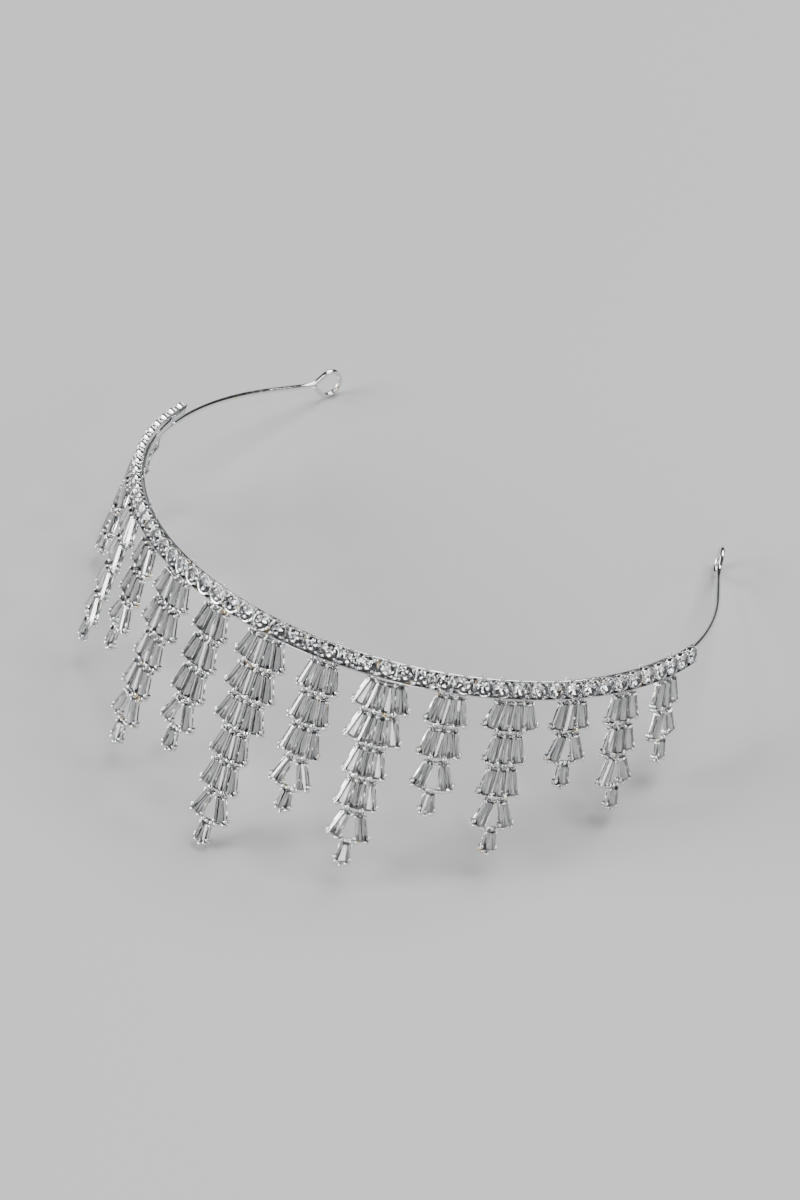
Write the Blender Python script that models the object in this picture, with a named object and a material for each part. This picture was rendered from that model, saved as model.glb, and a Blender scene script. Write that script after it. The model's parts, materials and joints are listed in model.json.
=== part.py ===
"""Crystal tiara: a horseshoe band of round stones with a fringe of rigid strands, as it rests on a surface.

The tiara is drawn in its own frame: the origin is the middle of the band's lower edge, X runs along the band
there, Y goes to the back of the head and Z is up. The band and the fringe lie on one cone, which is wider
below. An empty then tips the whole tiara back until it rests on its longest strand and its two wire loops.
"""

import math

import bmesh
import bpy
from mathutils import Matrix, Vector

MM = 0.001

# Band
BAND_RADIUS = 66.0 * MM          # of the lower edge, seen from above
CONE_ANGLE = math.radians(12.0)  # lean of the band and the fringe from upright
BAND_HEIGHT = 3.9 * MM
PLATE_THICKNESS = 0.9 * MM
LEDGE_HEIGHT = 0.45 * MM
LEDGE_REACH = 0.75 * MM          # how far the ledge stands out from the plate's front
ROUND_PITCH = 3.85 * MM          # from one round stone to the next
ROUNDS_ON_FACET = 2              # round stones on each flat length of the band
ROUND_ACROSS = 3.3 * MM
ROUND_TABLE_SHARE = 0.58
ROUND_CUP = 0.5 * MM             # height of the setting in front of the plate
ROUND_SINK = 0.3 * MM            # of the setting into the plate
ROUND_CROWN = 0.45 * MM
ROUND_FACETS = 8
END_MARGIN = 10.6 * MM           # band beyond the middle of the last strand

# Head strip, behind the band
STRIP_THICKNESS = 0.8 * MM
STRIP_HEIGHT = 2.4 * MM
STRIP_FACETS = 21
STRIP_SHORTER = 7.5 * MM         # at each end, to leave room for the wire

# Wire ends
WIRE_DIAMETER = 1.2 * MM
WIRE_SIDES = 6
WIRE_LAP = 6.5 * MM              # stretch that lies behind the band's end
WIRE_UP = 1.1 * MM               # of its middle line above the band's lower edge
WIRE_BEND_RADIUS = 62.0 * MM
WIRE_BEND = math.radians(26.0)
WIRE_BEND_STEPS = 5
WIRE_STRAIGHT = 12.0 * MM
LOOP_RADIUS = 3.1 * MM           # of the wire's middle line round the eye
LOOP_THROAT = 4.7 * MM           # from the loop's neck to the middle of its eye
LOOP_SEGMENTS = 9
LOOP_FORK = 0.5 * MM             # half the stretch in which the straight wire turns into the loop's first leg
LOOP_END = 1.5 * MM              # from the neck to the wire's end, along the second leg

# Fringe
STRAND_PITCH = 12.8 * MM
TIER_PITCH = 6.95 * MM
FIRST_DROP = 1.0 * MM            # from the band to the stones of the first tier
BAGUETTE_LENGTH = 5.7 * MM
BAGUETTE_NARROW = 1.7 * MM
BAGUETTE_WIDE = 2.7 * MM
BAGUETTE_CROWN = 0.5 * MM
BAGUETTE_PAVILION = 1.2 * MM
TABLE_INSET = 0.6 * MM
STONE_GAP = 0.2 * MM
PAIR_SPLAY = math.radians(34.0)  # between the two stones of the last tier but one
PAIR_GAP = 0.9 * MM              # between their narrow ends
TIP_LENGTH = 4.2 * MM
TIP_NARROW = 2.1 * MM
TIP_WIDE = 3.0 * MM
TIP_RAISE = 0.7 * MM             # the tip stone starts this much higher, between the splayed pair
TIP_CLAW_DROP = 0.8 * MM         # from the tip stone's end to the middle of the last claw
BAR_THICKNESS = 0.65 * MM
BAR_LAP = 0.5 * MM               # a bar's reach under the stones that it carries
BAR_BITE = 0.4 * MM              # how deep a stone's lower edge sinks into its bar
BAR_MARGIN = 0.45 * MM           # of a bar beyond the middle of its outermost claws
BAR_INSET = 0.15 * MM            # of a bar from the sides of the narrow ends that it carries
CLAW_WIDTH = 0.75 * MM
CLAW_RISE = 0.3 * MM             # above the stones' widest outline
CLAW_CLEARANCE = 0.08 * MM
CLAW_SINK = 0.3 * MM             # of a claw's foot into its bar
POST_WIDTH = 0.75 * MM

SEAT_GAP = 0.3 * MM              # between separate pieces that meet

# Stones in each tier, from the band to the tip: the middle strand, then outward on both sides
STRAND_TIERS = (
    (4, 4, 4, 3, 3, 2, 1),
    (3, 3, 3, 2, 1),
    (4, 4, 3, 3, 2, 1),
    (3, 3, 2, 1),
    (4, 3, 3, 2, 1),
    (3, 2, 1),
    (3, 3, 2, 1),
    (3, 2, 1),
)

OUTER_STRAND = len(STRAND_TIERS) - 1
BAND_HALF = OUTER_STRAND * STRAND_PITCH + END_MARGIN
BAND_FACETS = 2 * round(BAND_HALF / ROUND_PITCH / ROUNDS_ON_FACET)
PLATE_FRONT = -0.4 * MM
PLATE_BACK = PLATE_FRONT - PLATE_THICKNESS
BAR_FRONT = BAR_BITE - BAGUETTE_PAVILION
BAR_BACK = BAR_FRONT - BAR_THICKNESS
FAN_STEP = 2 * math.atan((BAGUETTE_WIDE - BAGUETTE_NARROW) / 2 / BAGUETTE_LENGTH)


def material(name, colour, roughness, metallic):
    made = bpy.data.materials.new(name)
    made.use_nodes = True
    shader = made.node_tree.nodes["Principled BSDF"]
    shader.inputs["Base Color"].default_value = (*colour, 1.0)
    shader.inputs["Roughness"].default_value = roughness
    shader.inputs["Metallic"].default_value = metallic
    made.diffuse_color = (*colour, 1.0)
    return made


def cone_point(angle, up, out, spread=1.0):
    """A point on the band's cone: up along its slope, out from it, at an angle round the head."""
    radius = (BAND_RADIUS - up * math.sin(CONE_ANGLE) + out * math.cos(CONE_ANGLE)) * spread
    height = up * math.cos(CONE_ANGLE) + out * math.sin(CONE_ANGLE)
    return Vector((radius * math.sin(angle), BAND_RADIUS - radius * math.cos(angle), height))


def cone_frame(angle):
    """The local frame there: X along the band, Y up its slope, Z out from it."""
    origin = cone_point(angle, 0.0, 0.0)
    along = Vector((math.cos(angle), math.sin(angle), 0.0))
    out = Vector((
        math.sin(angle) * math.cos(CONE_ANGLE),
        -math.cos(angle) * math.cos(CONE_ANGLE),
        math.sin(CONE_ANGLE),
    ))
    frame = Matrix((along, out.cross(along), out)).transposed().to_4x4()
    frame.translation = origin
    return frame


def add_rings(work, rings):
    """A closed solid skinned through rings of points, each ring with the same number of them."""
    made = [[work.verts.new(point) for point in ring] for ring in rings]
    count = len(rings[0])
    for lower, upper in zip(made, made[1:]):
        for i in range(count):
            j = (i + 1) % count
            work.faces.new((lower[i], lower[j], upper[j], upper[i]))
    work.faces.new(list(reversed(made[0])))
    work.faces.new(made[-1])


def flat_ring(outline, height):
    return [Vector((x, y, height)) for x, y in outline]


def add_block(work, outline, low, high):
    add_rings(work, [flat_ring(outline, low), flat_ring(outline, high)])


def mesh_object(name, work):
    bmesh.ops.recalc_face_normals(work, faces=work.faces)
    mesh = bpy.data.meshes.new(name)
    work.to_mesh(mesh)
    work.free()
    made = bpy.data.objects.new(name, mesh)
    bpy.context.scene.collection.objects.link(made)
    return made


def fused_mesh(name, base, rest):
    """One closed body from a base solid and the solids that are soldered or set into it."""
    body = mesh_object(name, base)
    tool = mesh_object(name + "_tool", rest)
    union = body.modifiers.new("fuse", "BOOLEAN")
    union.operation = "UNION"
    union.solver = "EXACT"
    union.use_self = True
    union.object = tool
    seen = body.evaluated_get(bpy.context.evaluated_depsgraph_get())
    mesh = bpy.data.meshes.new_from_object(seen)
    mesh.name = name
    bpy.data.objects.remove(tool)
    bpy.data.objects.remove(body)
    return mesh


def band_mesh():
    facet = 2 * BAND_HALF / BAND_RADIUS / BAND_FACETS
    spread = 1 / math.cos(facet / 2)
    ledge_front = PLATE_FRONT + LEDGE_REACH
    section = (
        (0.0, PLATE_BACK),
        (0.0, ledge_front),
        (LEDGE_HEIGHT, ledge_front),
        (LEDGE_HEIGHT, PLATE_FRONT),
        (BAND_HEIGHT, PLATE_FRONT),
        (BAND_HEIGHT, PLATE_BACK),
    )
    plate = bmesh.new()
    stations = [(i - BAND_FACETS / 2) * facet for i in range(BAND_FACETS + 1)]
    add_rings(plate, [[cone_point(a, up, out, spread) for up, out in section] for a in stations])

    stones = bmesh.new()
    middle = (LEDGE_HEIGHT + BAND_HEIGHT) / 2
    girdle = PLATE_FRONT + ROUND_CUP
    pitch = facet * BAND_RADIUS / ROUNDS_ON_FACET
    rings = (
        (1.0, PLATE_FRONT - ROUND_SINK),
        (1.0, girdle),
        (ROUND_TABLE_SHARE, girdle + ROUND_CROWN),
    )
    for i in range(BAND_FACETS):
        frame = cone_frame((i - (BAND_FACETS - 1) / 2) * facet)
        for j in range(ROUNDS_ON_FACET):
            along = (j - (ROUNDS_ON_FACET - 1) / 2) * pitch
            add_rings(stones, [
                [frame @ Vector((along + x, middle + y, height)) for x, y in round_outline(share)]
                for share, height in rings
            ])
    return fused_mesh("band", plate, stones)


def round_outline(share):
    corner = share * ROUND_ACROSS / 2 / math.cos(math.pi / ROUND_FACETS)
    turns = [(i + 0.5) * 2 * math.pi / ROUND_FACETS for i in range(ROUND_FACETS)]
    return [(corner * math.cos(turn), corner * math.sin(turn)) for turn in turns]


def strip_mesh():
    half = (BAND_HALF - STRIP_SHORTER) / BAND_RADIUS
    facet = 2 * half / STRIP_FACETS
    front = PLATE_BACK - SEAT_GAP
    low = (BAND_HEIGHT - STRIP_HEIGHT) / 2
    section = (
        (low, front - STRIP_THICKNESS),
        (low, front),
        (low + STRIP_HEIGHT, front),
        (low + STRIP_HEIGHT, front - STRIP_THICKNESS),
    )
    work = bmesh.new()
    stations = [i * facet - half for i in range(STRIP_FACETS + 1)]
    spread = 1 / math.cos(facet / 2)
    add_rings(work, [[cone_point(a, up, out, spread) for up, out in section] for a in stations])
    return work


def wire_path():
    """Middle line of the right wire end: behind the band, round a bend, straight, then the teardrop loop."""
    out = PLATE_BACK - SEAT_GAP - WIRE_DIAMETER / 2
    band_end = BAND_HALF / BAND_RADIUS
    lap = WIRE_LAP / BAND_RADIUS
    path = [cone_point(band_end - lap * share, WIRE_UP, out) for share in (1.0, 0.5, 0.0)]
    point = path[-1].copy()
    step = WIRE_BEND / WIRE_BEND_STEPS
    chord = 2 * WIRE_BEND_RADIUS * math.sin(step / 2)
    for i in range(WIRE_BEND_STEPS):
        turn = band_end + (i + 0.5) * step
        point = point + chord * Vector((math.cos(turn), math.sin(turn), 0.0))
        path.append(point)
    heading = band_end + WIRE_BEND
    ahead = Vector((math.cos(heading), math.sin(heading), 0.0))
    neck = point + WIRE_STRAIGHT * ahead
    rise = Vector((0.0, 0.0, 1.0))
    opening = math.asin(LOOP_RADIUS / LOOP_THROAT)
    eye = neck + LOOP_THROAT * ahead
    path.append(neck - LOOP_FORK * ahead)
    path.append(neck + LOOP_FORK * (math.cos(opening) * ahead + math.sin(opening) * rise))
    sweep = math.pi + 2 * opening
    for i in range(LOOP_SEGMENTS + 1):
        turn = sweep / 2 - i * sweep / LOOP_SEGMENTS
        path.append(eye + LOOP_RADIUS * (math.cos(turn) * ahead + math.sin(turn) * rise))
    path.append(neck + LOOP_END * (math.cos(opening) * ahead - math.sin(opening) * rise))
    return path


def wire_mesh(side):
    path = [Vector((side * p.x, p.y, p.z)) for p in wire_path()]
    work = bmesh.new()
    corner = WIRE_DIAMETER / 2 / math.cos(math.pi / WIRE_SIDES)
    normal = Vector((0.0, 0.0, 1.0))
    rings = []
    for i, point in enumerate(path):
        before = (point - path[i - 1]).normalized() if i > 0 else (path[1] - point).normalized()
        after = (path[i + 1] - point).normalized() if i < len(path) - 1 else before
        along = (before + after).normalized()
        if abs(along.z) > 1e-6 or rings:
            normal = (normal - along * normal.dot(along)).normalized()
        across = along.cross(normal)
        stretch = 1 / max(along.dot(before), 0.5)
        bend = (after - before)
        bend_axis = bend.normalized() if bend.length > 1e-6 else Vector((0.0, 0.0, 0.0))
        ring = []
        for k in range(WIRE_SIDES):
            turn = (k + 0.5) * 2 * math.pi / WIRE_SIDES
            spoke = corner * (math.cos(turn) * across + math.sin(turn) * normal)
            spoke = spoke + (stretch - 1) * spoke.dot(bend_axis) * bend_axis
            ring.append(point + spoke)
        rings.append(ring)
    add_rings(work, rings)
    return work


def fan(count):
    """Angle between a tier's stones and their narrow ends' radius, round the point they fan out from."""
    step, gap = (PAIR_SPLAY, PAIR_GAP) if count == 2 else (FAN_STEP, STONE_GAP)
    return step, (BAGUETTE_NARROW + gap) / (2 * math.sin(step / 2))


def stone_size(count):
    """Length and widths of a tier's stones. The tip stone has its own."""
    if count == 1:
        return TIP_LENGTH, TIP_NARROW, TIP_WIDE
    return BAGUETTE_LENGTH, BAGUETTE_NARROW, BAGUETTE_WIDE


def fan_point(count, top, turn, radius):
    """A point of a tier whose stones start at height top, at an angle and a radius of its fan."""
    centre = top + fan(count)[1]
    return radius * math.sin(turn), centre - radius * math.cos(turn)


def stone_turns(count):
    step = fan(count)[0]
    return [(i - (count - 1) / 2) * step for i in range(count)]


def add_baguette(work, count, top, turn):
    """A tapered baguette: a table, four crown facets, two long pavilion facets and two upright ends."""
    start = fan(count)[1]
    length, narrow_width, wide_width = stone_size(count)
    narrow = narrow_width / 2
    wide = wide_width / 2

    def corner(across, along, height):
        x, y = fan_point(count, top, turn, start + along)
        return Vector((x + across * math.cos(turn), y + across * math.sin(turn), height))

    def outline(inset, height):
        return [
            work.verts.new(corner(inset - narrow, inset, height)),
            work.verts.new(corner(inset - wide, length - inset, height)),
            work.verts.new(corner(wide - inset, length - inset, height)),
            work.verts.new(corner(narrow - inset, inset, height)),
        ]

    table = outline(TABLE_INSET, BAGUETTE_CROWN)
    girdle = outline(0.0, 0.0)
    keel = [work.verts.new(corner(0.0, along, -BAGUETTE_PAVILION)) for along in (0.0, length)]
    work.faces.new(table)
    for i in range(4):
        j = (i + 1) % 4
        work.faces.new((girdle[i], girdle[j], table[j], table[i]))
    work.faces.new((girdle[0], keel[0], keel[1], girdle[1]))
    work.faces.new((girdle[2], keel[1], keel[0], girdle[3]))
    work.faces.new((girdle[1], keel[1], girdle[2]))
    work.faces.new((girdle[3], keel[0], girdle[0]))


def add_claw(work, x, y, turn):
    """A three-sided claw that stands on its bar, with its flat side against the stones' ends."""
    half = CLAW_WIDTH / 2
    shape = ((-half, half), (0.0, -half), (half, half))
    outline = [
        (x + a * math.cos(turn) - b * math.sin(turn), y + a * math.sin(turn) + b * math.cos(turn))
        for a, b in shape
    ]
    add_block(work, outline, BAR_FRONT - CLAW_SINK, CLAW_RISE)


def claw_turns(count):
    """Angles of a tier's claws: one between neighbours and one at each outer corner, or two to a stone."""
    step, start = fan(count)
    length, _, wide = stone_size(count)
    half = math.atan((wide - CLAW_WIDTH) / 2 / (start + length))
    if count <= 2:
        return [turn + side * half for turn in stone_turns(count) for side in (-1, 1)]
    inner = [(i - count / 2) * step for i in range(1, count)]
    outer = (count - 1) / 2 * step + half
    return [-outer, *inner, outer]


def narrow_half(count):
    """Half the width of a tier over its stones' narrow ends."""
    turn = stone_turns(count)[-1]
    return fan(count)[1] * math.sin(turn) + stone_size(count)[1] / 2 * math.cos(turn)


def add_tier(work, bars, count, top, following, following_top):
    """A tier's stones, its claws and the bar that carries them and the narrow ends of the next tier."""
    for turn in stone_turns(count):
        add_baguette(work, count, top, turn)
    end = fan(count)[1] + stone_size(count)[0]
    reach = end + CLAW_WIDTH / 2 + CLAW_CLEARANCE
    turns = claw_turns(count)
    for turn in turns:
        x, y = fan_point(count, top, turn, reach / math.cos(turn - nearest(turn, stone_turns(count))))
        add_claw(work, x, y, turn)

    corner_x, corner_y = fan_point(count, top, turns[-1], reach)
    upper = fan_point(count, top, stone_turns(count)[-1], end - BAR_LAP)[1]
    shoulder = corner_x + BAR_MARGIN
    foot = corner_y - BAR_MARGIN
    if following:
        neck = narrow_half(following) - BAR_INSET
        bottom = following_top - BAR_LAP
    else:
        last_claw = fan_point(count, top, 0.0, end)[1] - TIP_CLAW_DROP
        add_claw(work, 0.0, last_claw, 0.0)
        neck = BAR_MARGIN
        bottom = last_claw - BAR_MARGIN
    outline = [(-shoulder, upper), (-shoulder, foot), (-neck, bottom), (neck, bottom), (shoulder, foot),
               (shoulder, upper)]
    add_block(bars, outline, BAR_BACK, BAR_FRONT)


def nearest(value, choices):
    return min(choices, key=lambda choice: abs(choice - value))


def add_hanger(bars, count):
    """The comb over the first tier: a bar across the narrow ends, and three posts up to the band."""
    low = -FIRST_DROP - BAR_LAP
    high = -FIRST_DROP + BAR_LAP
    outer = fan(count)[1] * math.sin(stone_turns(count)[-1])
    half = POST_WIDTH / 2
    outline = [
        (-outer - half, low), (outer + half, low), (outer + half, -SEAT_GAP), (outer - half, -SEAT_GAP),
        (outer - half, high), (half, high), (half, -SEAT_GAP), (-half, -SEAT_GAP), (-half, high),
        (half - outer, high), (half - outer, -SEAT_GAP), (-outer - half, -SEAT_GAP),
    ]
    add_block(bars, outline, BAR_BACK, BAR_FRONT)


def strand_mesh(name, tiers):
    base = bmesh.new()
    work = bmesh.new()
    add_hanger(base, tiers[0])
    tops = [-FIRST_DROP - i * TIER_PITCH for i in range(len(tiers))]
    tops[-1] += TIP_RAISE
    for i, count in enumerate(tiers):
        following = tiers[i + 1] if i + 1 < len(tiers) else 0
        following_top = tops[i + 1] if following else 0.0
        add_tier(work, work, count, tops[i], following, following_top)
    return fused_mesh(name, base, work)


def place(name, mesh, frame, look, parent):
    made = bpy.data.objects.new(name, mesh)
    bpy.context.scene.collection.objects.link(made)
    if not mesh.materials:
        mesh.materials.append(look)
    made.parent = parent
    made.matrix_local = frame
    return made


def rest_on_surface(parent, front, back):
    """Tips the tiara about X until the lowest points of its front and back touch one level surface."""
    bpy.context.view_layer.update()

    def points(objects):
        return [item.matrix_local @ v.co for item in objects for v in item.data.vertices]

    front_points = points(front)
    back_points = points(back)

    def lowest(places, tilt):
        return min(p.y * math.sin(tilt) + p.z * math.cos(tilt) for p in places)

    shallow, steep = 0.0, -math.pi / 4
    for _ in range(50):
        tilt = (shallow + steep) / 2
        if lowest(front_points, tilt) < lowest(back_points, tilt):
            shallow = tilt
        else:
            steep = tilt
    parent.rotation_euler = (tilt, 0.0, 0.0)
    bpy.context.view_layer.update()
    world = [item.matrix_world @ v.co for item in parent.children for v in item.data.vertices]
    depth = [p.y for p in world]
    parent.location = (0.0, -(min(depth) + max(depth)) / 2, -min(p.z for p in world))
    bpy.context.view_layer.update()


def main():
    for item in list(bpy.data.objects):
        bpy.data.objects.remove(item)
    metal = material("plated_metal", (0.80, 0.80, 0.82), 0.18, 1.0)
    crystal = material("crystal", (0.93, 0.95, 0.97), 0.05, 0.0)

    tiara = bpy.data.objects.new("tiara", None)
    bpy.context.scene.collection.objects.link(tiara)

    place("band", band_mesh(), Matrix(), metal, tiara)
    strip = mesh_object("strip_shape", strip_mesh())
    place("head_strip", strip.data, Matrix(), metal, tiara)
    bpy.data.objects.remove(strip)
    loops = []
    for name, side in (("wire_end_left", -1), ("wire_end_right", 1)):
        shape = mesh_object(name + "_shape", wire_mesh(side))
        loops.append(place(name, shape.data, Matrix(), metal, tiara))
        bpy.data.objects.remove(shape)

    meshes = [strand_mesh(f"strand_kind_{i + 1}", tiers) for i, tiers in enumerate(STRAND_TIERS)]
    strands = []
    for i in range(-OUTER_STRAND, OUTER_STRAND + 1):
        name = f"strand_{i + OUTER_STRAND + 1:02d}"
        angle = i * STRAND_PITCH / BAND_RADIUS
        strands.append(place(name, meshes[abs(i)], cone_frame(angle), crystal, tiara))

    rest_on_surface(tiara, strands, loops)


main()
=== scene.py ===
"""Crystal tiara, dressed: cut stones, claws and polished settings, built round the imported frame.

Lengths are in metres, written as millimetres times MM. Like the CAD, the tiara is drawn in its own frame:
the origin is the middle of the band's lower edge, X runs along the band there, Y goes to the back of the head
and Z is up. tiara_frame() gives that frame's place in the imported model, where the tiara rests tipped back.
"""

import json
import math
import random

import bmesh
import bpy
from mathutils import Matrix, Vector


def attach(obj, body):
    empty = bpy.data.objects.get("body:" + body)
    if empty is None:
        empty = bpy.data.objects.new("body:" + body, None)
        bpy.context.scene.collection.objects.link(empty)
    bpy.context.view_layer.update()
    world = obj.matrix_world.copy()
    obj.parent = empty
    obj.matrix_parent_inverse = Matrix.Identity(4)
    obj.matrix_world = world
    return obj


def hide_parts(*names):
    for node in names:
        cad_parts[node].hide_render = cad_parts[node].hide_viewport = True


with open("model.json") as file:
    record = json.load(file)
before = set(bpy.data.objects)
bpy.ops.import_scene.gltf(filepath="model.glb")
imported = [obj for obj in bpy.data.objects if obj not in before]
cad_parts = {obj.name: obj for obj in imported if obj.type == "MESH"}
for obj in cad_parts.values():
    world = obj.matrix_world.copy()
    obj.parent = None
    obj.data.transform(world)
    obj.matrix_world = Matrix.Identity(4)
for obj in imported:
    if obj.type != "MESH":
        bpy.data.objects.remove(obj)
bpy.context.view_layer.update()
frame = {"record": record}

MM = 0.001

# Band, as in the CAD
BAND_RADIUS = 66.0 * MM          # of the lower edge, seen from above
CONE_ANGLE = math.radians(12.0)  # lean of the band and the fringe from upright
BAND_HEIGHT = 3.9 * MM
PLATE_THICKNESS = 0.9 * MM
PLATE_FRONT = -0.4 * MM
LEDGE_HEIGHT = 0.45 * MM
LEDGE_REACH = 0.75 * MM
ROUND_PITCH = 3.85 * MM
ROUNDS_ON_FACET = 2
ROUND_CUP = 0.5 * MM
ROUND_CROWN = 0.45 * MM
END_MARGIN = 10.6 * MM
STRIP_THICKNESS = 0.8 * MM
STRIP_HEIGHT = 2.4 * MM
STRIP_SHORTER = 7.5 * MM
SEAT_GAP = 0.3 * MM

# Band, the detail
BACK_PLATE = 0.18 * MM           # thickness of the plate behind the cups
BACK_PLATE_FOOT = 0.1 * MM
BACK_PLATE_TOP = 3.55 * MM       # the cups stand above it as scallops
CUP_RADIUS = 1.84 * MM
CUP_FOOT_RADIUS = 1.56 * MM
CUP_WALL = 0.2 * MM
CUP_INSIDE = CUP_RADIUS - CUP_WALL
CUP_RISE = 0.05 * MM             # of its rim over the stone's girdle
CUP_DROP = 0.15 * MM             # the cups sit this much below the middle, over the ledge's upper edge
CUP_SIDES = 28
PRONG_RADIUS = 0.3 * MM
PRONG_RING = 1.72 * MM           # from a stone's middle to its prongs
PRONG_LEAN = 0.1 * MM            # of a prong's dome over the stone
PRONG_RISE = 0.24 * MM           # of a prong's top over the stone's girdle
PRONG_TURNS = (45, 135, 225, 315)  # places round a stone, in degrees
ROUND_RADIUS = 1.62 * MM         # of a round stone's girdle
ROUND_DEPTH = 1.15 * MM          # from its girdle to its point
ROUND_WOBBLE = math.radians(4)   # how far a round stone may be out of true in its cup
EDGE_ROUND = 0.14 * MM           # radius on the metal's edges
LEDGE_ROUND = 1.4 * EDGE_ROUND
STRIP_ROUND = 1.6 * EDGE_ROUND
BAND_STATIONS = 130              # steps of the band's bars along it
STRIP_STATIONS = 110             # steps of the head strip along it

# A cup's section, up its outside, over its rim and down its polished inside: the level that a height is taken
# from, that height, and the radius there
CUP_SECTION = (
    ("foot", -0.05 * MM, CUP_FOOT_RADIUS),
    ("foot", 0.35 * MM, CUP_FOOT_RADIUS + 0.08 * MM),
    ("rim", -0.1 * MM, CUP_RADIUS),
    ("rim", 0.0, CUP_RADIUS - 0.05 * MM),
    ("rim", -0.02 * MM, CUP_INSIDE),
    ("rim", -0.25 * MM, CUP_INSIDE - 0.06 * MM),
    ("foot", 0.03 * MM, 0.35 * MM),
    ("foot", 0.01 * MM, 0.05 * MM),
)

# Cut of a round stone, as shares of its radius, of its crown's height and of its pavilion's depth
TABLE_RING = 0.56
STAR_RING = 0.78
PAVILION_RING = 0.36
STAR_HEIGHT = 0.56
PAVILION_DROP = 0.7
GIRDLE_HALF = 0.04 * MM          # half the height of its girdle

# Pairs of pegs on top of the head strip, counted along it in steps from the middle
PEG_STEP = 4.85 * MM
PEG_STEPS = (3, 5, 9, 10, 13, 17, 19)
PEG_SPACING = 0.95 * MM
PEG_RADIUS = 0.2 * MM
PEG_TOP = 3.75 * MM

# Wire ends, as in the CAD
WIRE_RADIUS = 0.6 * MM
WIRE_LAP = 6.5 * MM
WIRE_UP = 1.1 * MM
WIRE_BEND_RADIUS = 62.0 * MM
WIRE_BEND = math.radians(26.0)
WIRE_STRAIGHT = 12.0 * MM
LOOP_RADIUS = 3.1 * MM
LOOP_THROAT = 4.7 * MM

# Wire ends, the detail: steps round its curves, and places on its straight stretches as shares of them
LAP_STEPS = 6
BEND_STEPS = 16
LOOP_STEPS = 24
WIRE_SIDES = 18
STRAIGHT_SHARES = (0.3, 0.6, 0.85)
LEG_SHARES = (0.2, 0.5, 0.8)
LAST_LEG_SHARES = (0.8, 0.55, 0.34)  # back from the loop, ending short of the neck

# Fringe, as in the CAD
STRAND_PITCH = 12.8 * MM
TIER_PITCH = 6.95 * MM
FIRST_DROP = 1.0 * MM
BAGUETTE_LENGTH = 5.7 * MM
BAGUETTE_NARROW = 1.7 * MM
BAGUETTE_WIDE = 2.7 * MM
BAGUETTE_CROWN = 0.5 * MM
BAGUETTE_PAVILION = 1.2 * MM
STONE_GAP = 0.2 * MM
PAIR_SPLAY = math.radians(34.0)
PAIR_GAP = 0.9 * MM
TIP_LENGTH = 4.2 * MM
TIP_NARROW = 2.1 * MM
TIP_WIDE = 3.0 * MM
TIP_RAISE = 0.7 * MM
TIP_CLAW_DROP = 0.8 * MM
CLAW_RISE = 0.3 * MM
BAR_BACK = -1.45 * MM
STRAND_TIERS = (
    (4, 4, 4, 3, 3, 2, 1),
    (3, 3, 3, 2, 1),
    (4, 4, 3, 3, 2, 1),
    (3, 3, 2, 1),
    (4, 3, 3, 2, 1),
    (3, 2, 1),
    (3, 3, 2, 1),
    (3, 2, 1),
)

# Fringe, the detail
ROD_RADIUS = 0.3 * MM            # of the cast rods along the stones' ends
ROD_DEPTH = BAR_BACK + ROD_RADIUS
RAIL_RADIUS = 0.2 * MM           # of the rails under the stones' edges
RAIL_DEPTH = -0.92 * MM
RAIL_INSET = 0.05 * MM           # from a stone's side to the rail under it
WIDE_ROD_PLACE = 0.12 * MM       # past the stones' wide ends
WIDE_ROD_MARGIN = 0.1 * MM       # past the outer stones' sides
NARROW_ROD_PLACE = -0.05 * MM    # along the stones from their narrow ends
NARROW_ROD_RADIUS = 0.9 * ROD_RADIUS
END_CLAW_RADIUS = 0.62 * MM      # between two stones' wide ends
END_CLAW_PLACE = 0.3 * MM        # past the stones' wide ends
END_CLAW_HEAD = 0.16 * MM        # past the wide ends too, where the claw's dome leans to
END_CLAW_TOP = CLAW_RISE + 0.04 * MM
CORNER_CLAW_RADIUS = 0.5 * MM    # at the outer corners
CORNER_INSET = 0.46 * MM         # from a stone's corner to the end claw beside it
SIDE_CLAW_RADIUS = 0.45 * MM     # beside a stone, near its wide end
SIDE_CLAW_PLACE = 0.7 * MM       # before the wide end
SIDE_CLAW_TOP = 0.24 * MM
SIDE_CLAW_GAP = 0.16 * MM        # from a stone's side to the middle of the claw beside it
TOP_CLAW_RADIUS = 0.36 * MM      # at the narrow ends
TOP_CLAW_PLACE = 0.45 * MM       # past the narrow end
NARROW_CLAW_PLACE = -0.08 * MM   # along the stones from their narrow ends, between two stones
NARROW_CLAW_TOP = 0.22 * MM
NARROW_CLAW_LEAN = (0.0, -0.1 * MM)
POST_RADIUS = 0.42 * MM
POST_DEPTH = -0.88 * MM
POST_START = 0.1 * MM            # past the wide ends, where the posts to the next tier start
HANGER_TOP = 0.1 * MM            # where the posts meet the band
LINK_RADIUS = 0.4 * MM           # of the bridge between the splayed pair and the tip stone
LINK_END_RADIUS = 0.9 * LINK_RADIUS
LINK_DEPTH = -0.75 * MM
LINK_PLACE = 0.1 * MM            # past the pair's wide ends
LINK_IN = 0.4 * BAGUETTE_WIDE    # from a stone's middle line in to the bridge's arm
LINK_FOOT = 0.1 * MM             # below the tip stone's top
LINK_CROSSING = 0.35             # place of the crossbar, as a share of the arms
LINK_CLAW_SHARE = 0.62           # place of its outer claws, as a share of the crossbar's half
LINK_CLAW_RISE = 0.3 * MM        # above the tip stone's top
LINK_CLAW_TOP = 0.05 * MM
TIP_CLAW_TOP = 0.12 * MM
STONE_WOBBLE = math.radians(1.3)  # how far a hand-set stone is out of true

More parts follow.
